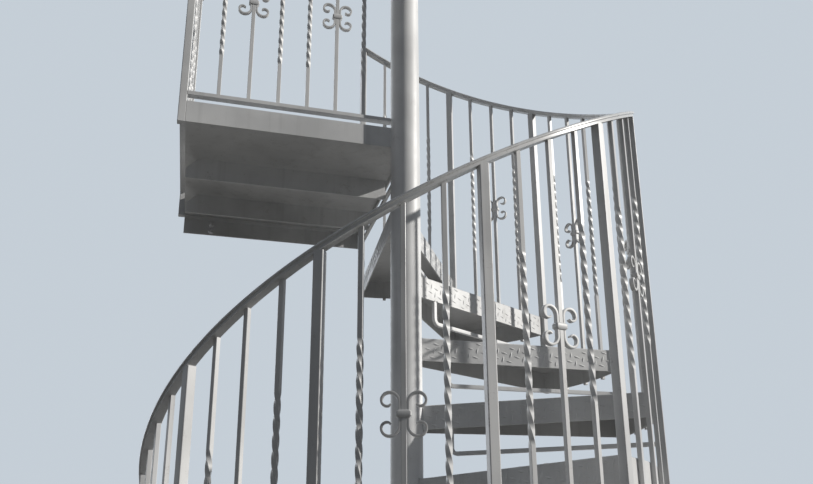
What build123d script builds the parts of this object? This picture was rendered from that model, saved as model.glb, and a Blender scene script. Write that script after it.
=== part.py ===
from build123d import *
from math import atan, cos, pi, radians, sin, sqrt
import os

os.makedirs("parts", exist_ok=True)

# Exterior steel spiral stair, in millimetres. Seen from above it climbs counter-clockwise
# about +Z. The origin is on the ground, under the middle of the column's base plate.
# The landing is the square quarter at -X, +Y, and its back edge is bolted to a balcony at +Y.

# The climb
tread_count = 12
tread_angle = 30.0
riser_height = 228.6
landing_azimuth = 90.0
rail_circle_radius = 762.0

# The column and its foot
column_diameter = 101.6
column_wall = 6.35
column_above_guard = 38.1
column_cap_thickness = 6.35
column_cap_overhang = 1.6
base_plate_side = 304.8
base_plate_thickness = 12.7
base_plate_corner = 19.0
anchor_spacing = 228.6
anchor_hole_diameter = 17.5

# The treads: checkered plate folded down at the nosing, the back and the outer edge
tread_sheet = 4.8
tread_flange_depth = 76.2
tread_heel_width = 50.8

# The riser bars that halve each open riser, and the higher one under the landing
riser_bar_size = 12.7
riser_bar_leg_radius = 142.0
riser_bar_below_tread = 155.0
landing_bar_below_top = 70.0
riser_bar_bend = 15.0

# The handrail: a moulded cap on a narrower neck
rail_rise = 914.4
rail_cap_width = 34.9
rail_cap_thickness = 10.0
rail_neck_depth = 8.0
rail_end_overhang = 30.0

# The posts and balusters
post_size = 25.4
post_wall = 2.1
post_foot_side = 76.2
post_foot_thickness = 6.35
bar_size = 12.7
bars_per_bay = 3
bar_drop = 5.0
twist_length = 470.0
twist_turns = 3
twist_levels_per_turn = 8
twist_centre_below_rail = 508.0

# The scroll collars: two C scrolls back to back, held by a collar on the bar
scroll_thickness = 6.35
scroll_depth = 12.7
scroll_spine_length = 53.6
scroll_shoulder_radius = 22.0
scroll_side_radius = 18.0
scroll_curl_radius = 13.0
scroll_tip_radius = 9.0
scroll_tip_sweep = 60.0
collar_width = 35.0
collar_height = 17.0
collar_depth = 21.0

# The landing
landing_plate_thickness = 6.35
toe_board_height = 76.2
toe_board_thickness = 6.35
landing_lip_depth = 25.4
stiffener_places = (254.0, 550.0)
stiffener_depth = 76.2
stiffener_thickness = 6.35
stiffener_end_gap = 6.35
stiffener_cut_back = 38.1
ledger_depth = 76.2
ledger_leg = 38.1
ledger_thickness = 6.35
ledger_hole_spacing_x = 508.0
ledger_hole_spacing_z = 31.75
ledger_hole_diameter = 13.5

# The landing's guard
guard_height = 1066.8
guard_bottom_rail_gap = 25.4
guard_bottom_rail_thickness = 12.7
guard_bays = 7
guard_scroll_height = 498.0

# A welded seat that isn't flat on flat is left this far open
weld_gap = 0.3

# What follows from the sizes above
landing_top = (tread_count + 1) * riser_height
landing_depth = rail_circle_radius + rail_cap_width / 2
column_radius = column_diameter / 2
stair_radius = rail_circle_radius - post_size / 2 - weld_gap
bar_circle_radius = rail_circle_radius - post_size / 2 + bar_size / 2
rail_neck_width = post_size
rail_thickness = rail_neck_depth + rail_cap_thickness
rail_pitch = riser_height * 360 / tread_angle
rail_slope = atan(rail_pitch / (2 * pi * rail_circle_radius))
tread_arc_length = radians(tread_angle) * rail_circle_radius
guard_rail_underside = landing_top + guard_height - rail_thickness
column_top = landing_top + guard_height + column_above_guard
landing_underside = landing_top - landing_plate_thickness
landing_left = post_size - rail_circle_radius
ledger_right = -post_size / 2 - weld_gap
ledger_hole_x = (landing_left + ledger_right) / 2
ledger_hole_z = (landing_underside - ledger_thickness + landing_top - ledger_depth) / 2


def step_azimuth(step):
    """Azimuth of a point on the stair, counted in treads from 1, the lowest nosing."""
    return landing_azimuth - (tread_count + 1 - step) * tread_angle


def tread_top(step):
    """Height of the nosing line over a point on the stair."""
    return step * riser_height


def radial_plane(radius, step, height):
    """Level plane at a point on the stair, its x axis pointing away from the column."""
    azimuth = radians(step_azimuth(step))
    outward = (cos(azimuth), sin(azimuth), 0)
    return Plane(
        origin=(radius * cos(azimuth), radius * sin(azimuth), height),
        x_dir=outward,
        z_dir=(0, 0, 1),
    )


def rail_seat(radius, step):
    """The handrail's sloping underside over a point on the stair."""
    level = radial_plane(radius, step, tread_top(step) + rail_rise - weld_gap)
    uphill = level.y_dir * cos(rail_slope) + level.z_dir * sin(rail_slope)
    return Plane(origin=level.origin, x_dir=level.x_dir, z_dir=level.x_dir.cross(uphill))


def finish(piece, name):
    """Label a finished piece and write it to its own file."""
    piece.label = name
    export_step(piece, f"parts/{name}.step")


# Base plate, with its four anchor holes
with BuildPart() as base_plate:
    with BuildSketch():
        RectangleRounded(base_plate_side, base_plate_side, base_plate_corner)
        with GridLocations(anchor_spacing, anchor_spacing, 2, 2):
            Circle(anchor_hole_diameter / 2, mode=Mode.SUBTRACT)
    extrude(amount=base_plate_thickness)
finish(base_plate.part, "base_plate")

# Centre column, a pipe from the base plate to a little over the landing's guard
with BuildPart() as center_column:
    with BuildSketch(Plane.XY.offset(base_plate_thickness)):
        Circle(column_radius)
        Circle(column_radius - column_wall, mode=Mode.SUBTRACT)
    extrude(amount=column_top - base_plate_thickness)
finish(center_column.part, "center_column")

# Column cap
with BuildPart() as column_cap:
    with BuildSketch(Plane.XY.offset(column_top)):
        Circle(column_radius + column_cap_overhang)
    extrude(amount=column_cap_thickness)
finish(column_cap.part, "column_cap")


def tread_pan(step):
    """One folded tread, open below, coped round the column at its inner end."""
    top = radial_plane(0, step, tread_top(step))
    with BuildPart() as tread:
        with BuildSketch(top) as outline:
            with BuildLine():
                nosing = Line((0, 0), (stair_radius, 0))
                outer_edge = CenterArc((0, 0), stair_radius, 0, tread_angle)
                back = Line(outer_edge @ 1, (0, tread_heel_width))
                Line(back @ 1, nosing @ 0)
            make_face()
        extrude(amount=-tread_flange_depth)
        with BuildSketch(top.offset(-tread_sheet)):
            add(outline.sketch_local)
            offset(amount=-tread_sheet, kind=Kind.INTERSECTION, mode=Mode.REPLACE)
        extrude(amount=-tread_flange_depth, mode=Mode.SUBTRACT)
        with BuildSketch(top):
            Circle(column_radius + weld_gap)
        extrude(amount=-tread_flange_depth, mode=Mode.SUBTRACT)
    return tread.part


for number in range(1, tread_count + 1):
    finish(tread_pan(number), f"tread_{number:02d}")


def riser_bar(step, leg_top, run):
    """A square bar bent from the nosing down and out to the post, both depths from the top."""
    side = radial_plane(0, step, tread_top(step))
    along = Plane(
        origin=side.origin + side.y_dir * (riser_bar_size / 2),
        x_dir=side.x_dir,
        z_dir=-side.y_dir,
    )
    post_face = rail_circle_radius - post_size / 2
    with BuildPart() as bar:
        with BuildLine(along) as route:
            Polyline(
                (riser_bar_leg_radius, -leg_top),
                (riser_bar_leg_radius, riser_bar_bend - run),
                (riser_bar_leg_radius + riser_bar_bend, -run),
                (post_face, -run),
            )
        with BuildSketch(Plane(origin=route.line @ 0, x_dir=side.y_dir, z_dir=route.line % 0)):
            Rectangle(riser_bar_size, riser_bar_size)
        sweep(transition=Transition.RIGHT)
    return bar.part


riser_bars = [
    riser_bar(number, tread_flange_depth, riser_bar_below_tread)
    for number in range(1, tread_count + 1)
]
riser_bars.append(riser_bar(tread_count + 1, landing_lip_depth, landing_bar_below_top))
finish(Compound(riser_bars), "riser_bars")


def post(step):
    """A square tube from the flange of the tread below up to the handrail."""
    foot = tread_top(step - 1) - tread_flange_depth if step > 1 else post_foot_thickness
    top = tread_top(step) + rail_rise
    with BuildPart() as tube:
        with BuildSketch(radial_plane(rail_circle_radius, step, foot)):
            Rectangle(post_size, post_size)
            Rectangle(post_size - 2 * post_wall, post_size - 2 * post_wall, mode=Mode.SUBTRACT)
        extrude(amount=top - foot + post_size)
        split(bisect_by=rail_seat(rail_circle_radius, step), keep=Keep.BOTTOM)
    return tube.part


rail_posts = [post(number) for number in range(1, tread_count + 2)]
finish(Compound(rail_posts), "rail_posts")

# Foot of the lowest post
with BuildPart() as post_foot:
    with BuildSketch(radial_plane(rail_circle_radius, 1, 0)):
        Rectangle(post_foot_side, post_foot_side)
    extrude(amount=post_foot_thickness)
finish(post_foot.part, "post_foot")

# The twisted length of a baluster, standing on the origin: squares turned a little clockwise
# from each level to the next, joined by flat facets
twist_levels = twist_turns * twist_levels_per_turn
squares = [
    [
        Vector(bar_size / sqrt(2), 0, twist_length * level / twist_levels).rotate(
            Axis.Z, 45 + 90 * corner - 360 * level / twist_levels_per_turn
        )
        for corner in range(4)
    ]
    for level in range(twist_levels + 1)
]
facets = [Face(Wire.make_polygon(squares[0][::-1])), Face(Wire.make_polygon(squares[-1]))]
for lower, upper in zip(squares, squares[1:]):
    for corner in range(4):
        start, end = lower[corner - 1], lower[corner]
        facets.append(Face(Wire.make_polygon([start, end, upper[corner]])))
        facets.append(Face(Wire.make_polygon([start, upper[corner], upper[corner - 1]])))
twist = Solid(Shell(facets))


def baluster(foot_plane, seat_plane, twist_base):
    """A square bar from its foot to its seat. A twist_base of None leaves it plain."""
    reach = seat_plane.origin.Z - foot_plane.origin.Z
    with BuildPart() as bar:
        if twist_base is None:
            with BuildSketch(foot_plane):
                Rectangle(bar_size, bar_size)
            extrude(amount=reach + bar_size)
        else:
            with BuildSketch(foot_plane):
                Rectangle(bar_size, bar_size)
            extrude(amount=twist_base)
            with Locations(foot_plane.offset(twist_base).location):
                add(twist)
            with BuildSketch(foot_plane.offset(twist_base + twist_length)):
                Rectangle(bar_size, bar_size)
            extrude(amount=reach - twist_base - twist_length + bar_size)
        split(bisect_by=seat_plane, keep=Keep.BOTTOM)
    return bar.part


def stair_baluster(step, twisted):
    """A baluster lapped outside the tread's flange, under the handrail."""
    foot = tread_top(int(step)) - tread_flange_depth - bar_drop
    twist_centre = tread_top(step) + rail_rise - twist_centre_below_rail
    twist_base = twist_centre - twist_length / 2 - foot
    return baluster(
        radial_plane(bar_circle_radius, step, foot),
        rail_seat(bar_circle_radius, step),
        twist_base if twisted else None,
    )


middle_bar = (bars_per_bay + 1) // 2
for number in range(1, tread_count + 1):
    bars = [
        stair_baluster(number + place / (bars_per_bay + 1), place != middle_bar)
        for place in range(1, bars_per_bay + 1)
    ]
    finish(Compound(bars), f"balusters_{number:02d}")

# One scroll collar, flat in the XZ plane, round a bar on the Z axis. Each C scroll is bent in
# flats from its middle, out over the shoulder and down into the curl
bend_x = bar_size / 2 + weld_gap + scroll_thickness / 2
bend_z = scroll_spine_length / 2
heading = 90.0
outer_side = [(bend_x - scroll_thickness / 2, 0), (bend_x - scroll_thickness / 2, bend_z)]
inner_side = [(bend_x + scroll_thickness / 2, 0), (bend_x + scroll_thickness / 2, bend_z)]
for radius, turn, flats in (
    (scroll_shoulder_radius, 90.0, 2),
    (scroll_side_radius, 90.0, 2),
    (scroll_curl_radius, 90.0, 2),
    (scroll_tip_radius, scroll_tip_sweep, 1),
):
    centre_x = bend_x + radius * sin(radians(heading))
    centre_z = bend_z - radius * cos(radians(heading))
    for flat in range(1, flats + 1):
        angle = radians(heading - turn * flat / flats)
        for side, reach in (
            (outer_side, radius + scroll_thickness / 2),
            (inner_side, radius - scroll_thickness / 2),
        ):
            side.append((centre_x - reach * sin(angle), centre_z + reach * cos(angle)))
    heading -= turn
    bend_x = centre_x - radius * sin(radians(heading))
    bend_z = centre_z + radius * cos(radians(heading))

with BuildPart() as scroll_collar:
    with BuildSketch(Plane.XZ):
        with BuildLine():
            Polyline(*outer_side, *reversed(inner_side), close=True)
        make_face()
        mirror(about=Plane.XZ)
        mirror(about=Plane.YZ)
    extrude(amount=scroll_depth / 2, both=True)
    with BuildSketch(Plane.XY.offset(-collar_height / 2)):
        Rectangle(collar_width, collar_depth)
    extrude(amount=collar_height)
    with BuildSketch(Plane.XY.offset(-collar_height / 2)):
        Rectangle(bar_size + 2 * weld_gap, bar_size + 2 * weld_gap)
    extrude(amount=collar_height, mode=Mode.SUBTRACT)

stair_scrolls = []
for number in range(1, tread_count + 1):
    step = number + middle_bar / (bars_per_bay + 1)
    height = tread_top(step) + rail_rise - twist_centre_below_rail
    place = radial_plane(bar_circle_radius, step, height)
    stair_scrolls.append(place.location * Rotation(0, 0, 90) * scroll_collar.part)
finish(Compound(stair_scrolls), "stair_scrolls")

# Handrail: the cap's profile swept up a helix over the posts, then turned to its first post
first_step = 1 - rail_end_overhang / tread_arc_length
last_step = tread_count + 1 + post_size / 2 / tread_arc_length
with BuildPart() as spiral_handrail:
    with BuildLine() as rail_line:
        Helix(
            pitch=rail_pitch,
            height=(last_step - first_step) * riser_height,
            radius=rail_circle_radius,
        )
    with BuildSketch(Plane(rail_line.line @ 0, x_dir=(-1, 0, 0), z_dir=rail_line.line % 0)):
        with Locations((0, rail_neck_depth / 2)):
            Rectangle(rail_neck_width, rail_neck_depth)
        with Locations((0, rail_neck_depth + rail_cap_thickness / 2)):
            Rectangle(rail_cap_width, rail_cap_thickness)
    sweep(is_frenet=True)
rail_foot = radial_plane(0, first_step, tread_top(first_step) + rail_rise)
finish(spiral_handrail.part.moved(rail_foot.location), "spiral_handrail")

# Landing plate, with a shallow lip at the nosing over the top tread
with BuildPart() as landing_plate:
    with BuildSketch(Plane.XY.offset(landing_underside)):
        with Locations((landing_left, 0)):
            Rectangle(-landing_left, landing_depth - ledger_thickness, align=(Align.MIN, Align.MIN))
    extrude(amount=landing_plate_thickness)
    with BuildSketch(Plane.XY.offset(landing_underside)):
        Rectangle(tread_sheet, stair_radius, align=(Align.MAX, Align.MIN))
    extrude(amount=landing_plate_thickness - landing_lip_depth)
    with BuildSketch(Plane.XY.offset(landing_top)):
        Circle(column_radius + weld_gap)
        with Locations((0, rail_circle_radius)):
            Rectangle(post_size + 2 * weld_gap, post_size + 2 * weld_gap)
    extrude(amount=-landing_lip_depth, mode=Mode.SUBTRACT)
finish(landing_plate.part, "landing_plate")

# Toe boards, on the plate's front and left edges
with BuildPart() as front_toe_board:
    with BuildSketch(Plane.XY.offset(landing_top)):
        with Locations((landing_left, 0)):
            Rectangle(-landing_left, toe_board_thickness, align=(Align.MIN, Align.MIN))
        Circle(column_radius + weld_gap, mode=Mode.SUBTRACT)
    extrude(amount=toe_board_height - landing_plate_thickness)
finish(front_toe_board.part, "front_toe_board")

with BuildPart() as side_toe_board:
    side_board_length = landing_depth - ledger_thickness - toe_board_thickness
    with BuildSketch(Plane.XY.offset(landing_top)):
        with Locations((landing_left, toe_board_thickness)):
            Rectangle(toe_board_thickness, side_board_length, align=(Align.MIN, Align.MIN))
    extrude(amount=toe_board_height - landing_plate_thickness)
finish(side_toe_board.part, "side_toe_board")

# Ledger, an angle along the landing's back edge, holed for the bolts into the balcony
with BuildPart() as landing_ledger:
    with BuildSketch(Plane.YZ.offset(landing_left)):
        with Locations((landing_depth, landing_top)):
            Rectangle(ledger_thickness, ledger_depth, align=(Align.MAX, Align.MAX))
        with Locations((landing_depth, landing_underside)):
            Rectangle(ledger_leg, ledger_thickness, align=(Align.MAX, Align.MAX))
    extrude(amount=ledger_right - landing_left)
    with BuildSketch(Plane.XZ.offset(-landing_depth)):
        with Locations((ledger_hole_x, ledger_hole_z)):
            with GridLocations(ledger_hole_spacing_x, ledger_hole_spacing_z, 2, 2):
                Circle(ledger_hole_diameter / 2)
    extrude(amount=ledger_thickness, mode=Mode.SUBTRACT)
finish(landing_ledger.part, "landing_ledger")

# Stiffeners, two flat bars on edge under the plate, cut back below at their left ends
with BuildPart() as landing_stiffener:
    for place in stiffener_places:
        with BuildSketch(Plane.XZ.offset(-place)) as web:
            with Locations((landing_left + stiffener_end_gap, landing_underside)):
                Rectangle(
                    -landing_left - stiffener_end_gap - riser_bar_size,
                    stiffener_depth,
                    align=(Align.MIN, Align.MAX),
                )
            low_corner = web.vertices().group_by(Axis.Z)[0].sort_by(Axis.X)[0]
            chamfer(low_corner, length=stiffener_cut_back)
        extrude(amount=-stiffener_thickness)
finish(landing_stiffener.part, "landing_stiffener")

# The guard stands on two posts, outside the plate's left edge
guard_line_x = landing_left - post_size / 2
guard_line_y = post_size / 2
back_post_y = landing_depth - post_size / 2
with BuildPart() as landing_posts:
    with BuildSketch(Plane.XY.offset(landing_underside)):
        with Locations((guard_line_x, guard_line_y), (guard_line_x, back_post_y)):
            Rectangle(post_size, post_size)
            inside = post_size - 2 * post_wall
            Rectangle(inside, inside, mode=Mode.SUBTRACT)
    extrude(amount=guard_rail_underside - landing_underside)
finish(landing_posts.part, "landing_posts")

# The guard's top rail, the handrail's profile mitred round the corner post
with BuildPart() as guard_top_rail:
    with BuildLine(Plane.XY.offset(guard_rail_underside)):
        Polyline(
            (0, guard_line_y),
            (guard_line_x, guard_line_y),
            (guard_line_x, landing_depth),
        )
    with BuildSketch(Plane((0, guard_line_y, guard_rail_underside), x_dir=(0, -1, 0), z_dir=(-1, 0, 0))):
        with Locations((0, rail_neck_depth / 2)):
            Rectangle(rail_neck_width, rail_neck_depth)
        with Locations((0, rail_neck_depth + rail_cap_thickness / 2)):
            Rectangle(rail_cap_width, rail_cap_thickness)
    sweep(transition=Transition.RIGHT)
    with BuildSketch(Plane.XY.offset(guard_rail_underside)):
        Circle(column_radius + weld_gap)
    extrude(amount=rail_thickness, mode=Mode.SUBTRACT)
finish(guard_top_rail.part, "guard_top_rail")

# The guard's bottom rails, from post to column and from post to post
bottom_rail_base = landing_underside + toe_board_height + guard_bottom_rail_gap
with BuildPart() as guard_bottom_rails:
    with BuildSketch(Plane.XY.offset(bottom_rail_base)):
        with Locations((landing_left, guard_line_y)):
            Rectangle(-landing_left, post_size, align=(Align.MIN, Align.CENTER))
        with Locations((guard_line_x, post_size)):
            Rectangle(post_size, landing_depth - 2 * post_size, align=(Align.CENTER, Align.MIN))
        Circle(column_radius + weld_gap, mode=Mode.SUBTRACT)
    extrude(amount=guard_bottom_rail_thickness)
finish(guard_bottom_rails.part, "guard_bottom_rails")

# The guard's bars: twisted, scroll and twisted, twice over between the ends of each side
bar_foot = bottom_rail_base + guard_bottom_rail_thickness
guard_twist_base = landing_top + guard_scroll_height - twist_length / 2 - bar_foot
front_run = -landing_left - column_radius
side_run = landing_depth - 2 * post_size
front_places = [
    (landing_left + front_run * place / guard_bays, guard_line_y) for place in range(1, guard_bays)
]
side_places = [
    (guard_line_x, post_size + side_run * place / guard_bays) for place in range(1, guard_bays)
]


def guard_bars(places, along):
    """The six bars of one side of the guard, and the seats of its two scroll collars."""
    bars = []
    seats = []
    for place, (x, y) in enumerate(places, start=1):
        foot = Plane(origin=(x, y, bar_foot), x_dir=along, z_dir=(0, 0, 1))
        seat = foot.offset(guard_rail_underside - bar_foot)
        plain = place % (bars_per_bay) == middle_bar
        bars.append(baluster(foot, seat, None if plain else guard_twist_base))
        if plain:
            seats.append(foot.offset(landing_top + guard_scroll_height - bar_foot))
    return bars, seats


front_bars, front_seats = guard_bars(front_places, (1, 0, 0))
side_bars, side_seats = guard_bars(side_places, (0, 1, 0))
finish(Compound(front_bars), "front_guard_bars")
finish(Compound(side_bars), "side_guard_bars")
guard_scrolls = [seat.location * scroll_collar.part for seat in front_seats + side_seats]
finish(Compound(guard_scrolls), "guard_scrolls")
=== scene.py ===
from math import atan, atan2, cos, hypot, pi, radians, sin, sqrt

import bpy
from mathutils import Matrix, Vector


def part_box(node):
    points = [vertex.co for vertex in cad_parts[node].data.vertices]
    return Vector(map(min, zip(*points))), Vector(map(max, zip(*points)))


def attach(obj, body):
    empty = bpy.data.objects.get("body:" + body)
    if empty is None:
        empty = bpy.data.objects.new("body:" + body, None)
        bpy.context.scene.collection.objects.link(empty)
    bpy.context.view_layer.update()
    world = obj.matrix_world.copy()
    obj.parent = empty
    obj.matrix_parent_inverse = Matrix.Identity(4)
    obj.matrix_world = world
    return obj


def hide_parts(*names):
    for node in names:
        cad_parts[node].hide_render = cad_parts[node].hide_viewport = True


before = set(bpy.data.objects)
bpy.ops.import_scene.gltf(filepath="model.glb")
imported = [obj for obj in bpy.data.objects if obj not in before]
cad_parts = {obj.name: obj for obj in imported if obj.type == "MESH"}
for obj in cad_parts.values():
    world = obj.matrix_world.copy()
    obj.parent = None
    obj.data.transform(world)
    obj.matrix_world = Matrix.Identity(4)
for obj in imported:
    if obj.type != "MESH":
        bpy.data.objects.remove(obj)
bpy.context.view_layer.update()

# The column: a pipe on a square base plate, capped on top. It carries every tread and the
# landing. Lengths in this file are in metres, on the CAD's own axes.
column_radius = 0.0508
column_wall = 0.00635
base_plate_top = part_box("base_plate")[1].z
column_low, column_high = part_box("center_column")
cap_low, cap_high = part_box("column_cap")
column_sides = 72


class Weldment:
    """The steel of one piece, gathered as points and faces before it becomes a mesh."""

    def __init__(self):
        self.points = []
        self.faces = []

    def run(self, stations, outline, closed=False):
        """Carries an outline along its stations: x turned to y turns to the way it goes."""
        base, count = len(self.points), len(outline)
        for station in stations:
            self.points += [station @ Vector((x, y, 0)) for x, y in outline]
        rings = len(stations)
        for ring in range(rings if closed else rings - 1):
            for side in range(count):
                after = (side + 1) % count
                here, there = base + ring * count, base + (ring + 1) % rings * count
                self.faces.append((here + side, here + after, there + after, there + side))
        if not closed:
            self.faces.append(tuple(base + side for side in reversed(range(count))))
            last = base + (rings - 1) * count
            self.faces.append(tuple(last + side for side in range(count)))

    def made(self, name, paint, crease=32):
        """The mesh object: smooth over gentle folds, flat on its flats, its edges marked."""
        mesh = bpy.data.meshes.new(name)
        mesh.from_pydata(self.points, [], self.faces)
        mesh.materials.append(paint)
        return finished(name, mesh, crease)


edge_width = 0.0023
flat_weight = 90


def finished(name, mesh, crease):
    """Links a mesh, marks its narrow faces as edges for the wear, and weighs its normals."""
    mesh.shade_smooth()
    mesh.set_sharp_from_angle(angle=radians(crease))
    narrow = []
    for face in mesh.polygons:
        rim = [mesh.vertices[corner].co for corner in face.vertices]
        shortest = min((rim[place] - rim[place - 1]).length for place in range(len(rim)))
        narrow.append(1.0 if shortest < edge_width and len(rim) == 4 else 0.0)
    mesh.attributes.new("edge", "FLOAT", "FACE").data.foreach_set("value", narrow)
    piece = bpy.data.objects.new(name, mesh)
    bpy.context.scene.collection.objects.link(piece)
    weigher = piece.modifiers.new("flats", "WEIGHTED_NORMAL")
    weigher.keep_sharp = True
    weigher.weight = flat_weight
    graph = bpy.context.evaluated_depsgraph_get()
    weighed = bpy.data.meshes.new_from_object(
        piece.evaluated_get(graph), preserve_all_data_layers=True, depsgraph=graph
    )
    piece.modifiers.remove(weigher)
    piece.data = weighed
    return piece


def fitted(piece, slot, *nodes):
    """Welds a piece to the stair, in the place of its CAD nodes."""
    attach(piece, "root")
    if nodes:
        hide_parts(*nodes)


class Level:
    """A socket's value in a finish. A sum written with it adds the Math nodes for it."""

    def __init__(self, finish, socket):
        self.finish, self.socket = finish, socket

    def sum(self, operation, first, second):
        return self.finish.node(
            "ShaderNodeMath", {"operation": operation}, {0: first, 1: second}
        )

    def __add__(self, other):
        return self.sum("ADD", self, other)

    def __sub__(self, other):
        return self.sum("SUBTRACT", self, other)

    def __rsub__(self, other):
        return self.sum("SUBTRACT", other, self)

    def __mul__(self, other):
        return self.sum("MULTIPLY", self, other)

    def __truediv__(self, other):
        return self.sum("DIVIDE", self, other)

    __radd__ = __add__


class Finish:
    """A tree of nodes being wired: a paint, or the rule that sets out a repeated detail."""

    def __init__(self, tree):
        self.tree = tree

    def node(self, kind, settings=None, sockets=None, out=0):
        made = self.tree.nodes.new(kind)
        for setting, value in (settings or {}).items():
            setattr(made, setting, value)
        for socket, value in (sockets or {}).items():
            if isinstance(value, Level):
                self.tree.links.new(value.socket, made.inputs[socket])
            else:
                made.inputs[socket].default_value = value
        return Level(self, made.outputs[out]) if made.outputs else None

    def noise(self, where, scale, detail, roughness=0.55):
        return self.node(
            "ShaderNodeTexNoise",
            {"noise_dimensions": "3D"},
            {"Vector": where, "Scale": scale, "Detail": detail, "Roughness": roughness},
        )

    def between(self, value, low, high):
        """How far a value has come from low to high, held to 0 and 1."""
        return self.node(
            "ShaderNodeMapRange",
            {"clamp": True, "interpolation_type": "SMOOTHSTEP"},
            {"Value": value, "From Min": low, "From Max": high},
        )

    def mixed(self, share, first, second):
        return self.node(
            "ShaderNodeMix",
            {"data_type": "RGBA"},
            {0: share, 6: first, 7: second},
            out=2,
        )


object_coordinates = 3
road_dust = (0.5, 0.49, 0.46, 1.0)
rain_streak = (0.2, 0.2, 0.195, 1.0)
streak_stretch = (34.0, 34.0, 1.6)
paint_relief = 0.0011
cloud_scale, mottle_scale, grain_scale, peel_scale = 2.3, 21.0, 190.0, 620.0


def sprayed(name, colour, worn_colour, roughness, wear=0.5, dust=0.35):
    """Semi-gloss enamel sprayed on steel: cloudy, a little pitted, dusty and rubbed thin."""
    paint = bpy.data.materials.new(name)
    paint.use_nodes = True
    paint.node_tree.nodes.clear()
    finish = Finish(paint.node_tree)
    where = finish.node("ShaderNodeTexCoord", out=object_coordinates)
    cloud = finish.noise(where, cloud_scale, 4.0)
    mottle = finish.noise(where, mottle_scale, 5.0)
    grain = finish.noise(where, grain_scale, 4.0, 0.6)
    peel = finish.noise(where, peel_scale, 2.0)
    streaked = finish.node(
        "ShaderNodeMapping",
        {"vector_type": "POINT"},
        {"Vector": where, "Scale": streak_stretch},
    )
    streak = finish.between(finish.noise(streaked, 1.0, 4.0), 0.5, 0.74)
    edge = finish.node("ShaderNodeAttribute", {"attribute_name": "edge"}, out="Fac")
    rubbed = finish.between(mottle * 0.55 + grain * 0.45 + edge * 0.07, 0.585, 0.66) * wear
    dusty = finish.between(cloud * 0.6 + mottle * 0.4, 0.42, 0.66) * dust
    light = tuple(min(1.0, part * 1.13) for part in colour[:3]) + (1.0,)
    dark = tuple(part * 0.84 for part in colour[:3]) + (1.0,)
    base = finish.mixed(finish.between(cloud, 0.35, 0.65), dark, light)
    base = finish.mixed(streak * 0.16, base, rain_streak)
    base = finish.mixed(dusty * 0.3, base, road_dust)
    base = finish.mixed(rubbed, base, worn_colour)
    sheen = roughness + (mottle - 0.5) * 0.16 + dusty * 0.14 + rubbed * 0.1 + streak * 0.05
    relief = cloud * 0.25 + grain * 0.35 + peel * 0.2 - rubbed * 0.5
    bump = finish.node(
        "ShaderNodeBump", None, {"Strength": 0.22, "Distance": paint_relief, "Height": relief}
    )
    shell = finish.node(
        "ShaderNodeBsdfPrincipled",
        None,
        {"Base Color": base, "Roughness": sheen, "Normal": bump, "Metallic": 0.0, "IOR": 1.5},
    )
    finish.node("ShaderNodeOutputMaterial", None, {"Surface": shell})
    return paint


silver_grey = (0.63, 0.635, 0.64)
worn_grey = (0.43, 0.42, 0.41, 1.0)
pipe_grey = (0.77, 0.775, 0.78)
worn_pipe_grey = (0.52, 0.51, 0.5, 1.0)
frame_paint = sprayed("frame_paint", silver_grey, worn_grey, 0.37)
column_paint = sprayed("column_paint", pipe_grey, worn_pipe_grey, 0.46, 0.35, 0.25)


def ring(sides):
    """The outline of a circle of radius 1, counter-clockwise."""
    angles = [2 * pi * side / sides for side in range(sides)]
    return [(cos(angle), sin(angle)) for angle in angles]


def at(x=0.0, y=0.0, z=0.0, turn=0.0, size=1.0):
    """A level station, turned about the vertical, its outline drawn larger or smaller."""
    return (
        Matrix.Translation((x, y, z))
        @ Matrix.Rotation(turn, 4, "Z")
        @ Matrix.Diagonal((size, size, 1.0, 1.0))
    )


def rounded(width, depth, corner, steps):
    """A rectangle's outline with its corners rounded, counter-clockwise."""
    outline = []
    for quarter, (sx, sy) in enumerate(((1, 1), (-1, 1), (-1, -1), (1, -1))):
        for step in range(steps + 1):
            angle = pi / 2 * (quarter + step / steps)
            outline.append(
                (
                    sx * (width / 2 - corner) + corner * cos(angle),
                    sy * (depth / 2 - corner) + corner * sin(angle),
                )
            )
    return outline


column = Weldment()
column.run(
    [
        at(z=column_low.z, size=column_radius),
        at(z=column_high.z, size=column_radius),
        at(z=column_high.z, size=column_radius - column_wall),
        at(z=column_low.z, size=column_radius - column_wall),
    ],
    ring(column_sides),
    closed=True,
)
fitted(column.made("column_pipe", column_paint), "frame_paint", "center_column")

cap_radius = (cap_high.x - cap_low.x) / 2
cap_edge = 0.0025
cap_steps = 5
cap = Weldment()
cap.run(
    [at(z=cap_low.z, size=cap_radius)]
    + [
        at(
            z=cap_high.z - cap_edge * (1 - sin(pi / 2 * step / cap_steps)),
            size=cap_radius - cap_edge * (1 - cos(pi / 2 * step / cap_steps)),
        )
        for step in range(cap_steps + 1)
    ],
    ring(column_sides),
)
fitted(cap.made("column_top_cap", frame_paint), "frame_paint", "column_cap")

# The base plate, and its anchor rods with a washer and a hex nut each, zinc plated and left
# bare: they hold the plate down, and are set out by one rule on its four holes.
anchor_spacing = 0.2286
zinc_dark, zinc_light = (0.42, 0.42, 0.43, 1.0), (0.62, 0.62, 0.63, 1.0)
zinc_bloom = (0.7, 0.7, 0.69, 1.0)
zinc_relief = 0.0006
spangle_scale, bloom_scale = 240.0, 60.0


def painted(paint, *nodes):
    """Gives its paint to each CAD node that shows as it is."""
    for node in nodes:
        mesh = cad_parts[node].data
        mesh.materials.clear()
        mesh.materials.append(paint)


painted(frame_paint, "base_plate")


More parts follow.
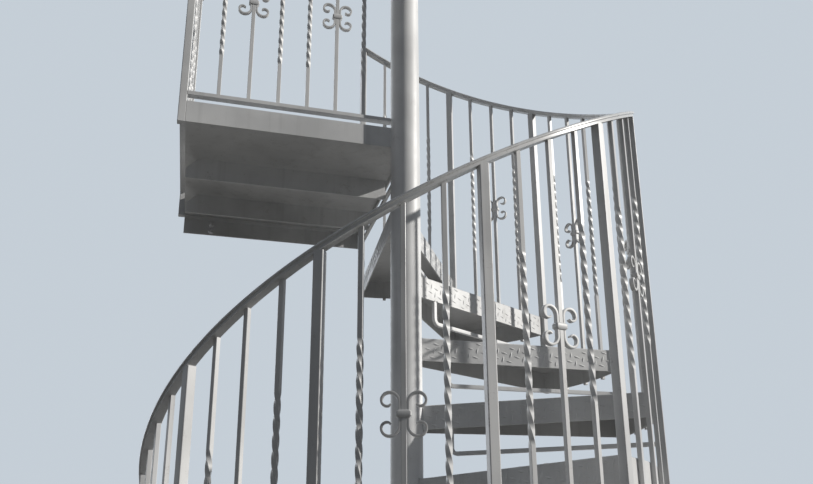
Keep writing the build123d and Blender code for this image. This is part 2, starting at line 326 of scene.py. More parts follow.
def plated(name):
    """Dull zinc plate with a fine spangle and white bloom."""
    zinc = bpy.data.materials.new(name)
    zinc.use_nodes = True
    zinc.node_tree.nodes.clear()
    finish = Finish(zinc.node_tree)
    where = finish.node("ShaderNodeTexCoord", out=object_coordinates)
    spangle = finish.noise(where, spangle_scale, 3.0)
    bloom = finish.between(finish.noise(where, bloom_scale, 4.0), 0.5, 0.7)
    tint = finish.mixed(spangle, zinc_dark, zinc_light)
    tint = finish.mixed(bloom * 0.5, tint, zinc_bloom)
    bump = finish.node(
        "ShaderNodeBump", None, {"Strength": 0.3, "Distance": zinc_relief, "Height": spangle}
    )
    shell = finish.node(
        "ShaderNodeBsdfPrincipled",
        None,
        {
            "Base Color": tint,
            "Metallic": 0.85 - bloom * 0.5,
            "Roughness": 0.38 + bloom * 0.25,
            "Normal": bump,
        },
    )
    finish.node("ShaderNodeOutputMaterial", None, {"Surface": shell})
    return zinc


zinc = plated("zinc_plate")


def rule(name, sizes):
    """An empty Geometry Nodes tree with its named inputs, and what it is given."""
    tree = bpy.data.node_groups.new(name, "GeometryNodeTree")
    tree.interface.new_socket("Geometry", in_out="OUTPUT", socket_type="NodeSocketGeometry")
    tree.interface.new_socket("Seats", in_out="INPUT", socket_type="NodeSocketGeometry")
    for label, kind in sizes.items():
        tree.interface.new_socket(label, in_out="INPUT", socket_type=kind)
    finish = Finish(tree)
    outputs = tree.nodes.new("NodeGroupInput").outputs
    return finish, {socket.name: Level(finish, socket) for socket in outputs if socket.name}


def on_seats(finish, given, copy, size=(1.0, 1.0, 1.0)):
    """Copies a thing to every seat, turned as the seat says, in its finish."""
    turn = finish.node(
        "GeometryNodeInputNamedAttribute", {"data_type": "FLOAT_VECTOR"}, {"Name": "turn"}
    )
    copies = finish.node(
        "GeometryNodeInstanceOnPoints",
        None,
        {"Points": given["Seats"], "Instance": copy, "Rotation": turn, "Scale": size},
    )
    real = finish.node("GeometryNodeRealizeInstances", None, {"Geometry": copies})
    dressed = finish.node(
        "GeometryNodeSetMaterial", None, {"Geometry": real, "Material": given["Finish"]}
    )
    end = finish.tree.nodes.new("NodeGroupOutput")
    finish.tree.links.new(dressed.socket, end.inputs[0])


def set_out(name, finish, seats, values, slot, crease=32):
    """Runs a rule over its seats, each a place and a turn, and keeps the mesh it makes."""
    mesh = bpy.data.meshes.new(name + "_seats")
    mesh.from_pydata([place for place, turn in seats], [], [])
    turns = mesh.attributes.new("turn", "FLOAT_VECTOR", "POINT")
    turns.data.foreach_set("vector", [part for place, turn in seats for part in turn])
    holder = bpy.data.objects.new(name + "_seats", mesh)
    bpy.context.scene.collection.objects.link(holder)
    modifier = holder.modifiers.new(name, "NODES")
    modifier.node_group = finish.tree
    for socket in finish.tree.interface.items_tree:
        if socket.in_out == "INPUT" and socket.name in values:
            modifier[socket.identifier] = values[socket.name]
    graph = bpy.context.evaluated_depsgraph_get()
    made = bpy.data.meshes.new_from_object(holder.evaluated_get(graph), depsgraph=graph)
    holder.modifiers.remove(modifier)
    bpy.data.objects.remove(holder)
    fitted(finished(name, made, crease), slot)


nut_rule, nut = rule(
    "Nut and washer",
    {
        "Rod radius": "NodeSocketFloat",
        "Nut radius": "NodeSocketFloat",
        "Nut height": "NodeSocketFloat",
        "Washer radius": "NodeSocketFloat",
        "Washer height": "NodeSocketFloat",
        "Finish": "NodeSocketMaterial",
    },
)


def turned(finish, sides, radius, height, base, top_share=1.0):
    """A disc, nut or rod end standing base above its seat."""
    disc = finish.node(
        "GeometryNodeMeshCone",
        {"fill_type": "NGON"},
        {
            "Vertices": sides,
            "Radius Top": radius * top_share,
            "Radius Bottom": radius,
            "Depth": height,
        },
    )
    rise = finish.node("ShaderNodeCombineXYZ", None, {"Z": base})
    return finish.node("GeometryNodeTransform", None, {"Geometry": disc, "Translation": rise})


washer_sides, nut_sides, rod_sides = 28, 6, 16
rod_showing, rod_point = 0.45, 0.86
stack = [
    turned(nut_rule, washer_sides, nut["Washer radius"], nut["Washer height"], 0.0),
    turned(nut_rule, nut_sides, nut["Nut radius"], nut["Nut height"], nut["Washer height"]),
    turned(
        nut_rule,
        rod_sides,
        nut["Rod radius"],
        nut["Nut height"] * rod_showing,
        nut["Washer height"] + nut["Nut height"],
        rod_point,
    ),
]
joined = nut_rule.tree.nodes.new("GeometryNodeJoinGeometry")
for part in reversed(stack):
    nut_rule.tree.links.new(part.socket, joined.inputs[0])
on_seats(nut_rule, nut, Level(nut_rule, joined.outputs[0]))

anchor_seats = [
    (
        (x * anchor_spacing / 2, y * anchor_spacing / 2, base_plate_top),
        (0.0, 0.0, 0.4 * x + 0.9 * y),
    )
    for x in (-1, 1)
    for y in (-1, 1)
]
set_out(
    "anchor_nuts",
    nut_rule,
    anchor_seats,
    {
        "Rod radius": 0.0079,
        "Nut radius": 0.0138,
        "Nut height": 0.0135,
        "Washer radius": 0.0175,
        "Washer height": 0.003,
        "Finish": zinc,
    },
    "frame_paint",
)

# Twelve treads, each one folded checkered plate: the nosing and back turned down with a small
# bend, and a rolled strip welded flush round the outer edge. They are open below.
tread_count = 12
riser = 0.2286
tread_turn = radians(30.0)
stair_radius = 0.749
tread_depth = 0.0762
tread_sheet = 0.0048
tread_bend = 0.0055
heel_width = 0.0508
cope_radius = 0.0511
bend_steps, arc_steps, cope_steps = 4, 24, 8
plate_grey = (0.62, 0.625, 0.63)
worn_plate_grey = (0.42, 0.415, 0.41, 1.0)
plate_paint = sprayed("checker_plate_paint", plate_grey, worn_plate_grey, 0.44, 0.6, 0.5)


def azimuth(step):
    """Where a nosing lies round the column, counted from the lowest tread as 1."""
    return pi / 2 - (tread_count + 1 - step) * tread_turn


def on_stair(step, radius=0.0, height=0.0):
    """A place on the stair, its x axis pointing away from the column and its y axis uphill."""
    angle = azimuth(step)
    return Matrix.Translation(
        (radius * cos(angle), radius * sin(angle), height)
    ) @ Matrix.Rotation(angle, 4, "Z")


outer_corner = Vector((stair_radius * cos(tread_turn), stair_radius * sin(tread_turn)))
back_run = (Vector((0.0, heel_width)) - outer_corner).normalized()
back_side = Vector((-back_run.y, back_run.x))


def tread_edge(inset):
    """The nosing, outer edge and back of a tread, drawn in by an inset, up to the column."""
    radius = stair_radius - inset
    start = (sqrt(cope_radius**2 - inset**2), inset)
    low = atan2(inset, sqrt(radius**2 - inset**2))
    origin = outer_corner + back_side * inset
    along = origin.dot(back_run)
    far, heel = (
        origin - back_run * (along + sqrt(along**2 - origin.length_squared + reach**2))
        for reach in (radius, cope_radius)
    )
    high = atan2(far.y, far.x)
    angles = [low + (high - low) * step / arc_steps for step in range(arc_steps + 1)]
    arc = [(radius * cos(angle), radius * sin(angle)) for angle in angles]
    return [start] + arc + [tuple(heel)]


def tread_sections():
    """Insets and heights round a tread's rim: the walking face, the bend, down and inside."""
    bend = []
    for step in range(bend_steps + 1):
        fold = pi / 2 * step / bend_steps
        bend.append((tread_bend * (1 - sin(fold)), -tread_bend * (1 - cos(fold))))
    return bend + [
        (0.0, -tread_depth),
        (tread_sheet, -tread_depth),
        (tread_sheet, -tread_sheet),
    ]


def cope(inset_start, inset_end):
    """The cut round the column, from the back of the tread to its nosing."""
    first = atan2(inset_end[1], inset_end[0])
    last = atan2(inset_start[1], inset_start[0])
    angles = [first + (last - first) * step / cope_steps for step in range(1, cope_steps)]
    return [(cope_radius * cos(angle), cope_radius * sin(angle)) for angle in angles]


def tread_pan(step):
    """One tread's folded plate."""
    pan = Weldment()
    place = on_stair(step, 0.0, step * riser)
    loops = []
    for inset, height in tread_sections():
        edge = tread_edge(inset)
        loops.append(list(range(len(pan.points), len(pan.points) + len(edge))))
        pan.points += [place @ Vector((x, y, height)) for x, y in edge]
    for upper, lower in zip(loops, loops[1:]):
        for near in range(len(upper) - 1):
            far = near + 1
            pan.faces.append((upper[near], lower[near], lower[far], upper[far]))
    cuts = []
    top_and_under = ((loops[0], tread_bend, 0.0), (loops[-1], tread_sheet, -tread_sheet))
    for loop, inset, height in top_and_under:
        edge = tread_edge(inset)
        cut = cope(edge[0], edge[-1])
        base = len(pan.points)
        pan.points += [place @ Vector((x, y, height)) for x, y in cut]
        face = loop + list(range(base, base + len(cut)))
        pan.faces.append(tuple(reversed(face)) if cuts else tuple(face))
        cuts.append(face[-len(cut) - 1 :] + face[:1])
    upper, lower = cuts
    for near in range(len(upper) - 1):
        far = near + 1
        pan.faces.append((upper[far], upper[near], lower[near], lower[far]))
    pan.faces.append(tuple(loop[0] for loop in loops))
    pan.faces.append(tuple(loop[-1] for loop in reversed(loops)))
    return pan


for step in range(1, tread_count + 1):
    pan = tread_pan(step).made(f"tread_pan_{step:02d}", plate_paint)
    fitted(pan, "checker_plate_paint", f"tread_{step:02d}")

# The checker pattern: low pointed lugs rolled into the plate, every other one a quarter turn
# on. The plate was cut askew, so they lie aslant on the tread, its nosing and its back.
lug_pitch = 0.0233
lug_length = 0.0265
lug_width = 0.0078
lug_height = 0.0016
lug_sunk = 0.0004
lug_top = 0.28
lug_margin = 0.0125
lug_column_margin = 0.02
lug_heel_margin = 0.05
apron_top, apron_margin = tread_bend * 0.6, 0.0005
lug_lay = radians(-15.0)
lug_start = (0.4, 0.3)
rubbed_grey, bare_grey = (0.64, 0.645, 0.65), (0.62, 0.62, 0.61, 1.0)
lug_paint = sprayed("rubbed_lug_paint", rubbed_grey, bare_grey, 0.40, 0.8, 0.3)


def uneven(finish, least, most, seed):
    """A size that differs a little from copy to copy."""
    return finish.node(
        "FunctionNodeRandomValue",
        {"data_type": "FLOAT"},
        {2: least, 3: most, "Seed": seed},
        out=1,
    )


lug_rule, lug = rule(
    "Checker lugs",
    {
        "Length": "NodeSocketFloat",
        "Width": "NodeSocketFloat",
        "Height": "NodeSocketFloat",
        "Sunk": "NodeSocketFloat",
        "Seed": "NodeSocketInt",
        "Finish": "NodeSocketMaterial",
    },
)
lens = lug_rule.node(
    "GeometryNodeMeshCone",
    {"fill_type": "NGON"},
    {"Vertices": 8, "Radius Top": lug_top, "Radius Bottom": 1.0, "Depth": 1.0},
)
lens_spot = lug_rule.node("GeometryNodeInputPosition")
lens_x, lens_y, lens_z = (
    lug_rule.node("ShaderNodeSeparateXYZ", None, {"Vector": lens_spot}, out=axis)
    for axis in range(3)
)
lens_point = lug_rule.node(
    "ShaderNodeCombineXYZ",
    None,
    {
        "X": lens_x * (1.0 + lens_z * 0.45),
        "Y": lens_y * (1.0 - lens_x * lens_x * 0.5),
        "Z": lens_z,
    },
)
lens = lug_rule.node(
    "GeometryNodeSetPosition", None, {"Geometry": lens, "Position": lens_point}
)
lens_size = lug_rule.node(
    "ShaderNodeCombineXYZ",
    None,
    {"X": lug["Length"] / 2.0, "Y": lug["Width"] / 2.0, "Z": lug["Height"] + lug["Sunk"]},
)
lens_drop = lug_rule.node("ShaderNodeCombineXYZ", None, {"Z": lug["Sunk"] * -1.0})
lens = lug_rule.node(
    "GeometryNodeTransform",
    None,
    {"Geometry": lens, "Translation": lens_drop, "Scale": lens_size},
)
on_seats(lug_rule, lug, lens, uneven(lug_rule, 0.94, 1.05, lug["Seed"]))
lug_sizes = {
    "Length": lug_length,
    "Width": lug_width,
    "Height": lug_height,
    "Sunk": lug_sunk,
    "Seed": 11,
    "Finish": lug_paint,
}


def lug_lattice(reach):
    """Places of the lugs on a flat sheet, in metres from its corner, and how each is turned."""
    span = int(reach / lug_pitch) + 2
    for i in range(-span, span):
        for j in range(-span, span):
            lean = lug_lay + (pi / 2 if (i + j) % 2 else 0.0)
            spot = Vector(((i + lug_start[0]) * lug_pitch, (j + lug_start[1]) * lug_pitch))
            yield Matrix.Rotation(lug_lay, 2) @ spot, lean


def lug_seat(place, spot, lean):
    """A lug's seat on a plate that lies in the x-y plane of its place."""
    station = place @ Matrix.Translation(spot.to_3d()) @ Matrix.Rotation(lean, 4, "Z")
    return station.to_translation(), tuple(station.to_euler())


def fits_apron(depth, lean):
    """Whether a lug this far below a fold keeps to the flat of what is turned down."""
    rise = abs(sin(lean)) * lug_length / 2 + abs(cos(lean)) * lug_width / 2
    return apron_top + rise < depth < tread_depth - rise - apron_margin


back_heading = atan2(-back_run.y, -back_run.x)
back_length = (outer_corner - Vector((0.0, heel_width))).length
tread_lugs = []
for step in range(1, tread_count + 1):
    top = on_stair(step, 0.0, step * riser)
    nosing = top @ Matrix.Rotation(pi / 2, 4, "X")
    heel = top @ Matrix.Translation((outer_corner.x, outer_corner.y, 0.0))
    apron = heel @ Matrix.Rotation(back_heading + pi, 4, "Z") @ Matrix.Rotation(pi / 2, 4, "X")
    for spot, lean in lug_lattice(stair_radius):
        out = spot.length
        behind = (spot - outer_corner).dot(back_side)
        along = (spot - outer_corner).dot(back_run)
        on_top = cope_radius + lug_margin < out < stair_radius - lug_margin
        if on_top and behind > lug_margin and spot.y > lug_margin:
            tread_lugs.append(lug_seat(top, spot, lean))
        elif on_top and spot.x > cope_radius + lug_column_margin and fits_apron(-spot.y, lean):
            tread_lugs.append(lug_seat(nosing, spot, lean))
        elif fits_apron(-behind, lean) and lug_margin < along < back_length - lug_heel_margin:
            lean_on_apron = lean - atan2(back_run.y, back_run.x)
            tread_lugs.append(lug_seat(apron, Vector((along, behind)), lean_on_apron))
set_out("tread_lugs", lug_rule, tread_lugs, lug_sizes, "checker_plate_paint")

# Riser bars: a half-inch square bar bent down from every nosing and out to its post, so that
# no open riser is taller than the rules allow. The one under the landing hangs higher.
bar = 0.0127
riser_leg = 0.142
riser_drop = 0.155
landing_bar_drop = 0.070
landing_lip = 0.0254
riser_bend = 0.018
riser_bend_steps = 6
weld_sink = 0.001
post_side = 0.0254
rail_radius = 0.762
bar_corner = 0.0011
bar_outline = rounded(bar, bar, bar_corner, 2)


def riser_bar_hang(step):
    """How far below a tread or the landing its bar's leg starts, and its run lies."""
    if step <= tread_count:
        return tread_depth, riser_drop
    return landing_lip, landing_bar_drop


riser_steel = Weldment()
for step in range(1, tread_count + 2):
    top, drop = riser_bar_hang(step)
    place = on_stair(step, 0.0, step * riser) @ Matrix.Translation((0.0, bar / 2, 0.0))
    path = [(riser_leg, weld_sink - top, -pi / 2)]
    for bend in range(riser_bend_steps + 1):
        turn = pi / 2 * bend / riser_bend_steps
        path.append(
            (
                riser_leg + riser_bend * (1 - cos(turn)),
                riser_bend - drop - riser_bend * sin(turn),
                turn - pi / 2,
            )
        )
    path.append((rail_radius - post_side / 2, -drop, 0.0))
    riser_steel.run(
        [
            place
            @ Matrix(
                (
                    (0, sin(heading), cos(heading), x),
                    (-1, 0, 0, 0),
                    (0, -cos(heading), sin(heading), z),
                    (0, 0, 0, 1),
                )
            )
            for x, z, heading in path
        ],
        bar_outline,
    )
fitted(riser_steel.made("bent_riser_bars", frame_paint), "frame_paint", "riser_bars")

# Posts: one-inch square tube at every nosing, from the tread below up to the handrail. The
# lowest stands on a small foot of its own.
post_corner = 0.0028
post_sink = 0.0015
rail_rise = 0.9144
rail_slope = atan(riser / (tread_turn * rail_radius))
post_outline = rounded(post_side, post_side, post_corner, 3)

posts = Weldment()
for step in range(1, tread_count + 2):
    foot = (step - 1) * riser - tread_depth if step > 1 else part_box("post_foot")[1].z
    head = step * riser + rail_rise + post_sink
    stations = [on_stair(step, rail_radius, foot), on_stair(step, rail_radius, head)]
    posts.run(stations, post_outline)
fitted(posts.made("square_tube_posts", frame_paint), "frame_paint", "rail_posts")
painted(frame_paint, "post_foot")

# Balusters: half-inch square bar lapped outside the treads, three to a bay. The outer two of
# each bay are twisted three turns to the left while hot, the middle one carries the scrolls.
bar_radius = 0.75565
bar_foot_drop = 0.0812
bar_sink = 0.0012
twist_length = 0.470
twist_turns = 3
twist_step = radians(10.0)
twist_below_rail = 0.508
twist_corner = 0.0009
twist_outline = rounded(bar, bar, twist_corner, 1)


def bar_run(steel, place, reach, twist_base):
    """One bar standing on a place, twisted from its twist_base up, or plain if that is None."""
    heights = [(0.0, 0.0)]
    if twist_base is not None:
        levels = round(twist_turns * 2 * pi / twist_step)
        heights += [
            (twist_base + twist_length * level / levels, -level * twist_step)
            for level in range(levels + 1)
        ]
    heights.append((reach, 0.0))
    steel.run([place @ at(z=height, turn=turn) for height, turn in heights], twist_outline)


for number in range(1, tread_count + 1):
    bay = Weldment()
    for quarter in (1, 2, 3):
        step = number + quarter / 4
        foot = number * riser - bar_foot_drop
        reach = step * riser + rail_rise - foot + bar_sink
        middle = step * riser + rail_rise - twist_below_rail
        base = None if quarter == 2 else middle - twist_length / 2 - foot
        bar_run(bay, on_stair(step, bar_radius, foot), reach, base)
    fitted(
        bay.made(f"bay_bars_{number:02d}", frame_paint),
        "frame_paint",
        f"balusters_{number:02d}",
    )

# Scroll collars: flat bar rolled into two C scrolls back to back, drawn down a little towards
# each tip, and gripped to the middle bar by a cast collar with bevelled edges.
scroll_stock = 0.00635
scroll_depth = 0.0127
scroll_spine = 0.0536
scroll_gap = 0.0003
scroll_corner = 0.0012
scroll_bends = ((0.022, 90.0), (0.018, 90.0), (0.013, 90.0), (0.009, 60.0))
flat_turn = 11.0
tip_start, tip_thinning, tip_curve = 0.6, 0.34, 1.4
collar_width, collar_depth, collar_height = 0.035, 0.021, 0.017
collar_corner, collar_bevel, collar_end = 0.004, 0.004, 0.78


def scroll_path():
    """Places, headings and thicknesses up one scroll, from its middle to its tip."""
    x = bar / 2 + scroll_gap + scroll_stock / 2
    z = scroll_spine / 2
    heading = pi / 2
    total = sum(radius * radians(turn) for radius, turn in scroll_bends)
    walked = 0.0
    path = [(x, 0.0, heading, 1.0), (x, z, heading, 1.0)]
    for radius, turn in scroll_bends:
        centre = (x + radius * sin(heading), z - radius * cos(heading))
        flats = round(turn / flat_turn)
        for flat in range(1, flats + 1):
            angle = heading - radians(turn) * flat / flats
            share = (walked + radius * radians(turn) * flat / flats) / total
            drawn = max(0.0, (share - tip_start) / (1.0 - tip_start))
            thin = 1.0 - tip_thinning * drawn**tip_curve
            path.append(
                (centre[0] - radius * sin(angle), centre[1] + radius * cos(angle), angle, thin)
            )
        walked += radius * radians(turn)
        heading -= radians(turn)
        x, z = centre[0] - radius * sin(heading), centre[1] + radius * cos(heading)
    return path


upper_scroll = scroll_path()
whole_scroll = [
    (x, -z, pi - heading, thin) for x, z, heading, thin in reversed(upper_scroll[1:])
] + upper_scroll[1:]
scroll_outline = rounded(scroll_stock, scroll_depth, scroll_corner, 2)
collar_outline = rounded(collar_depth, collar_width, collar_corner, 3)


def scroll_collar(steel, place):
    """Both scrolls and their collar, in the y-z plane of a place on the middle bar."""
    stations = [
        Matrix(
            (
                (0, 1, 0, 0),
                (-sin(heading), 0, cos(heading), x),
                (cos(heading), 0, sin(heading), z),
                (0, 0, 0, 1),
            )
        )
        @ Matrix.Diagonal((thin, 1, 1, 1))
        for x, z, heading, thin in whole_scroll
    ]
    for side in (place, place @ Matrix.Rotation(pi, 4, "Z")):
        steel.run([side @ station for station in stations], scroll_outline)
    sizes = [(-collar_height / 2, collar_end), (collar_bevel - collar_height / 2, 1.0)]
    sizes += [(-z, size) for z, size in reversed(sizes)]
    steel.run([place @ at(z=z, size=size) for z, size in sizes], collar_outline)


scrolls = Weldment()
for number in range(1, tread_count + 1):
    step = number + 0.5
    middle = step * riser + rail_rise - twist_below_rail
    scroll_collar(scrolls, on_stair(step, bar_radius, middle))
fitted(scrolls.made("stair_scroll_collars", frame_paint), "frame_paint", "stair_scrolls")

# Handrail: a moulded cap on a channel, rolled to the helix and welded over the posts. Hands
# keep its top a little smoother than the rest.
cap_width = 0.0349
cap_thickness = 0.010
neck_depth = 0.008
rail_overhang = 0.030
neck_fillet = 0.0008
rim_round = 0.0012
rim_top, groove, crown_foot = 0.0036, 0.0045, 0.0054
groove_depth = 0.0011
crown_steps = 6
rail_crease = 40
rail_paint = sprayed("rail_paint", plate_grey, worn_plate_grey, 0.28, 0.7, 0.2)


def moulding():
    """The handrail's section, half of it from its foot up, then mirrored."""
    neck, brim = post_side / 2, cap_width / 2
    half = [
        (neck, 0.0),
        (neck, neck_depth - rim_round),
        (neck + neck_fillet, neck_depth),
        (brim - rim_round, neck_depth),
        (brim, neck_depth + rim_round),
        (brim, neck_depth + rim_top),
        (brim - groove_depth, neck_depth + groove),
        (brim - rim_round, neck_depth + crown_foot),
    ]
    for step in range(1, crown_steps + 1):
        turn = pi / 2 * step / crown_steps
        rise = (cap_thickness - crown_foot) * sin(turn)
        half.append(((brim - rim_round) * cos(turn), neck_depth + crown_foot + rise))
    return half + [(-x, y) for x, y in reversed(half[:-1])]


rail_section = moulding()
first_step = 1 - rail_overhang / (tread_turn * rail_radius)
last_step = tread_count + 1 + post_side / 2 / (tread_turn * rail_radius)
rail_steps = 150
rail_stations = []
for place in range(rail_steps + 1):
    step = first_step + (last_step - first_step) * place / rail_steps
    level = on_stair(step, rail_radius, step * riser + rail_rise)
    tilt = Matrix.Rotation(rail_slope, 4, "X")
    face = Matrix(((-1, 0, 0, 0), (0, 0, 1, 0), (0, 1, 0, 0), (0, 0, 0, 1)))
    rail_stations.append(level @ tilt @ face)
handrail = Weldment()
handrail.run(rail_stations, rail_section)
rolled_rail = handrail.made("helical_handrail", rail_paint, rail_crease)
fitted(rolled_rail, "rail_paint", "spiral_handrail")

# The landing: checkered plate with a shallow lip at the stair, smooth toe boards on its open
# edges, two flat stiffeners below and an angle along its back edge, to bolt it up by.
landing_reach = 1.2
board_margin = 0.02
post_clearance = 0.028
painted(plate_paint, "landing_plate")
painted(
    frame_paint, "front_toe_board", "side_toe_board", "landing_ledger", "landing_stiffener"
)
plate_low, plate_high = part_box("landing_plate")
landing = Matrix.Translation((0.0, 0.0, plate_high.z))
landing_lugs = []
for spot, lean in lug_lattice(landing_reach):
    clear = (
        plate_low.x + board_margin < spot.x < plate_high.x - lug_margin
        and plate_low.y + board_margin < spot.y < plate_high.y - board_margin
        and spot.length > cope_radius + lug_margin
        and hypot(spot.x, spot.y - rail_radius) > post_clearance
    )
    if clear:
        landing_lugs.append(lug_seat(landing, spot, lean))
set_out("landing_lugs", lug_rule, landing_lugs, lug_sizes, "checker_plate_paint")

# Bolts through the landing's angle, two over two, with plate washers: the same nut and
# washer rule as the anchors', lying down.
ledger_low, ledger_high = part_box("landing_ledger")
ledger_sheet = 0.00635
ledger_bolt_x, ledger_bolt_z = 0.508, 0.03175
ledger_middle = (
    (ledger_low.x + ledger_high.x) / 2,
    (plate_low.z + landing_lip - 2 * ledger_sheet + ledger_low.z) / 2,
)
set_out(
    "ledger_bolts",
    nut_rule,
    [
        (
            (
                ledger_middle[0] + x * ledger_bolt_x / 2,
                ledger_high.y - ledger_sheet,
                ledger_middle[1] + z * ledger_bolt_z / 2,
            ),
            (pi / 2, 0.7 * z + 0.3 * x, 0.0),
        )
        for x in (-1, 1)
        for z in (-1, 1)
    ],
    {
        "Rod radius": 0.0042,
        "Nut radius": 0.0105,
        "Nut height": 0.0075,
        "Washer radius": 0.0145,
        "Washer height": 0.0022,
        "Finish": zinc,
    },
    "frame_paint",
)

# The guard: posts, a mitred top rail like the handrail, a flat bottom rail, and bars and
# scroll collars like the stair's.
posts_low, posts_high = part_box("landing_posts")
rail_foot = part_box("guard_top_rail")[0].z
bar_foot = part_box("guard_bottom_rails")[1].z
guard_x = posts_low.x + post_side / 2
guard_y = posts_low.y + post_side / 2
guard_end = posts_high.y
painted(frame_paint, "guard_bottom_rails")

guard_posts = Weldment()
for y in (guard_y, guard_end - post_side / 2):
    guard_posts.run(
        [at(guard_x, y, posts_low.z), at(guard_x, y, rail_foot + post_sink)], post_outline
    )
fitted(guard_posts.made("guard_tube_posts", frame_paint), "frame_paint", "landing_posts")


def rail_station(x, y, across):
    """Where the top rail passes, its section drawn across the way it runs."""
    return Matrix(
        (
            (across[0], 0, -across[1], x),
            (across[1], 0, across[0], y),
            (0, 1, 0, rail_foot),
            (0, 0, 0, 1),
        )
    )


rail_in_column = 0.004
top_rail = Weldment()
top_rail.run(
    [
        rail_station(rail_in_column - column_radius, guard_y, (0, -1)),
        rail_station(guard_x, guard_y, (-1, -1)),
        rail_station(guard_x, guard_end, (-1, 0)),
    ],
    rail_section,
)
mitred_rail = top_rail.made("guard_moulded_rail", rail_paint, rail_crease)
fitted(mitred_rail, "rail_paint", "guard_top_rail")

guard_bays = 7
guard_scroll_height = 0.498
scroll_place = at(z=plate_high.z + guard_scroll_height - bar_foot)
twist_base = plate_high.z + guard_scroll_height - twist_length / 2 - bar_foot
front_run = -plate_low.x - column_radius
side_run = guard_end - 2 * post_side
sides = {
    "front": [
        at(plate_low.x + front_run * place / guard_bays, guard_y, bar_foot, -pi / 2)
        for place in range(1, guard_bays)
    ],
    "side": [
        at(guard_x, post_side + side_run * place / guard_bays, bar_foot, pi)
        for place in range(1, guard_bays)
    ],
}
guard_scroll_steel = Weldment()
for side, places in sides.items():
    steel = Weldment()
    for number, place in enumerate(places, start=1):
        plain = number % 3 == 2
        bar_run(steel, place, rail_foot - bar_foot + bar_sink, None if plain else twist_base)
        if plain:
            scroll_collar(guard_scroll_steel, place @ scroll_place)
    fitted(steel.made(f"guard_{side}_bars", frame_paint), "frame_paint", f"{side}_guard_bars")
fitted(
    guard_scroll_steel.made("guard_scroll_collars", frame_paint), "frame_paint", "guard_scrolls"
)

# Weld beads, painted over: short rippled runs of filler where posts and bars meet the treads,
# at the riser bars' ends and the guard bars' feet, over each tread's heel and round the
# column's foot.
bead_length = 0.016
bead_size = 0.0024
post_bead_drops = (0.024, 0.052)
bar_bead_drops = (0.02, 0.046)
heel_bead_turns = (10, 28, 46, 64, 80)
foot_bead_step = 20
bead_rule, bead = rule(
    "Weld bead",
    {
        "Length": "NodeSocketFloat",
        "Size": "NodeSocketFloat",
        "Ripples": "NodeSocketInt",
        "Seed": "NodeSocketInt",
        "Finish": "NodeSocketMaterial",
    },
)
bead_ends = [
    bead_rule.node("ShaderNodeCombineXYZ", None, {"X": bead["Length"] * share})
    for share in (-0.5, 0.5)
]
bead_line = bead_rule.node(
    "GeometryNodeMeshLine",
    {"mode": "END_POINTS", "count_mode": "TOTAL"},
    {"Count": bead["Ripples"], "Start Location": bead_ends[0], "Offset": bead_ends[1]},
)
ripple = bead_rule.node(
    "GeometryNodeMeshUVSphere", None, {"Segments": 7, "Rings": 4, "Radius": bead["Size"]}
)
bead_run = bead_rule.node(
    "GeometryNodeInstanceOnPoints",
    None,
    {
        "Points": bead_line,
        "Instance": ripple,
        "Scale": uneven(bead_rule, 0.85, 1.12, bead["Seed"]),
    },
)
on_seats(bead_rule, bead, bead_run)

level = Matrix.Identity(4)
upright = Matrix.Rotation(-pi / 2, 4, "Y")
crosswise = Matrix.Rotation(pi / 2, 4, "Z")
bead_places = []


def weld(place, offset, lie):
    """Lays one bead at an offset from a place."""
    bead_places.append(place @ Matrix.Translation(offset) @ lie)


for step in range(1, tread_count + 2):
    for carrier, side in ((step, 1), (step - 1, -1)):
        if 1 <= carrier <= tread_count:
            for drop in post_bead_drops:
                corner = on_stair(step, stair_radius, carrier * riser - drop)
                weld(corner, (0, side * post_side / 2, 0), upright)
    hang, drop = riser_bar_hang(step)
    for side in (-1, 1):
        end = on_stair(step, rail_radius - post_side / 2, step * riser - drop)
        weld(end, (0, bar / 2, side * bar / 2), crosswise)
        head = on_stair(step, riser_leg + side * bar / 2, step * riser - hang)
        weld(head, (0, bar / 2, 0), crosswise)
for number in range(1, tread_count + 1):
    for quarter in (1, 2, 3):
        for side in (-1, 1):
            for drop in bar_bead_drops:
                corner = on_stair(number + quarter / 4, stair_radius, number * riser - drop)
                weld(corner, (0, side * bar / 2, 0), upright)
    for turn in heel_bead_turns:
        heel = on_stair(number, 0.0, number * riser) @ at(turn=radians(turn))
        weld(heel, (cope_radius, 0, 0), crosswise)
for turn in range(0, 360, foot_bead_step):
    weld(at(z=base_plate_top, turn=radians(turn)), (column_radius, 0, 0), crosswise)
for places in sides.values():
    for place in places:
        for side in (-1, 1):
            weld(place, (0, side * bar / 2, 0), level)
set_out(
    "weld_beads",
    bead_rule,
    [(place.to_translation(), tuple(place.to_euler())) for place in bead_places],
    {
        "Length": bead_length,
        "Size": bead_size,
        "Ripples": 6,
        "Seed": 5,
        "Finish": frame_paint,
    },
    "frame_paint",
    crease=60,
)

# The studio: a pale floor and backdrop, a low sun from the right with a broad soft fill from
# behind, and a camera at a standing person's eye height, looking up.
floor_reach = 30.0
pale_floor = (0.80, 0.80, 0.79, 1.0)
floor_bounce = (0.06, 0.056, 0.049, 1.0)
pale_backdrop = (0.56, 0.62, 0.68, 1.0)
sky_light, sky_strength = (0.86, 0.91, 1.0, 1.0), 0.13
floor_mesh = bpy.data.meshes.new("floor")
floor_corners = [
    (x * floor_reach, y * floor_reach, 0.0) for x, y in ((-1, -1), (1, -1), (1, 1), (-1, 1))
]
floor_mesh.from_pydata(floor_corners, [], [(0, 1, 2, 3)])
floor = bpy.data.objects.new("floor", floor_mesh)
bpy.context.scene.collection.objects.link(floor)
floor_paint = bpy.data.materials.new("pale_floor")
floor_paint.use_nodes = True
floor_paint.node_tree.nodes.clear()
ground = Finish(floor_paint.node_tree)


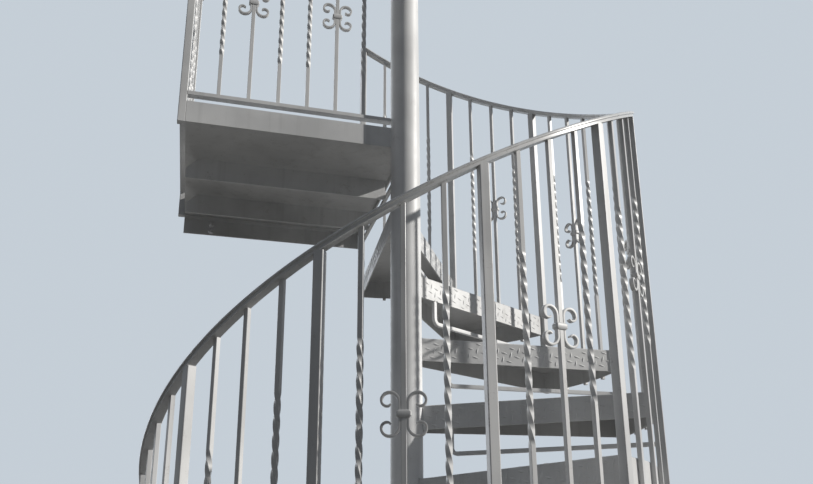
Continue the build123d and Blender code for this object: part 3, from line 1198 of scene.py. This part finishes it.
def direct_view(finish):
    """1 where the camera sees a surface, straight or in a reflection or through glass."""
    kinds = [
        finish.node("ShaderNodeLightPath", out=name)
        for name in ("Is Camera Ray", "Is Glossy Ray", "Is Transmission Ray")
    ]
    return finish.node("ShaderNodeClamp", None, {"Value": kinds[0] + kinds[1] + kinds[2]})


floor_tint = ground.mixed(direct_view(ground), floor_bounce, pale_floor)
floor_shell = ground.node(
    "ShaderNodeBsdfPrincipled", None, {"Base Color": floor_tint, "Roughness": 0.9}
)
ground.node("ShaderNodeOutputMaterial", None, {"Surface": floor_shell})
floor_mesh.materials.append(floor_paint)

world = bpy.data.worlds.new("studio")
world.use_nodes = True
bpy.context.scene.world = world
world.node_tree.nodes.clear()
sky = Finish(world.node_tree)
dome = sky.node("ShaderNodeBackground", None, {"Color": sky_light, "Strength": sky_strength})
backdrop = sky.node("ShaderNodeBackground", None, {"Color": pale_backdrop, "Strength": 1.0})
lit = sky.node("ShaderNodeMixShader", None, {0: direct_view(sky), 1: dome, 2: backdrop})
sky.node("ShaderNodeOutputWorld", None, {"Surface": lit})

# Name, strength, softness, azimuth, height and colour of each lamp, its angles in degrees.
lamps = (
    ("key", 3.68, 0.8, -20.0, 25.2, (1.0, 0.97, 0.92)),
    ("fill", 0.95, 55.0, 108.0, 30.0, (0.93, 0.96, 1.0)),
)
for label, strength, softness, azimuth_from, height_from, tint in lamps:
    lamp = bpy.data.lights.new(label, "SUN")
    lamp.energy = strength
    lamp.angle = radians(softness)
    lamp.color = tint
    turn_from, rise_from = radians(azimuth_from), radians(height_from)
    light_from = Vector(
        (cos(turn_from) * cos(rise_from), sin(turn_from) * cos(rise_from), sin(rise_from))
    )
    holder = bpy.data.objects.new(label, lamp)
    holder.rotation_euler = light_from.to_track_quat("Z", "Y").to_euler()
    bpy.context.scene.collection.objects.link(holder)

# The camera as it was fitted: lengths in pixels of an image of this size, then its turn, and
# its place in metres.
image_width, image_height = 813.0, 484.0
focal_px, centre_x, centre_y = 817.79, 431.19, 313.37
pitch, roll, yaw = radians(17.561), radians(-0.8622), radians(16.3812)
camera_place = (-0.63904, -2.46517, 1.55827)
forward = Vector((sin(yaw) * cos(pitch), cos(yaw) * cos(pitch), sin(pitch)))
level_right = Vector((cos(yaw), -sin(yaw), 0.0))
level_up = level_right.cross(forward)
right = level_right * cos(roll) + level_up * sin(roll)
up = level_up * cos(roll) - level_right * sin(roll)
optics = bpy.data.cameras.new("camera")
optics.sensor_width = 36.0
optics.lens = focal_px / image_width * optics.sensor_width
optics.shift_x = (image_width / 2 - centre_x) / image_width
optics.shift_y = (centre_y - image_height / 2) / image_width
camera = bpy.data.objects.new("camera", optics)
camera_turn = Matrix((right, up, -forward)).transposed().to_4x4()
camera.matrix_world = Matrix.Translation(camera_place) @ camera_turn
bpy.context.scene.collection.objects.link(camera)
bpy.context.scene.camera = camera
bpy.context.scene.view_settings.view_transform = "Standard"
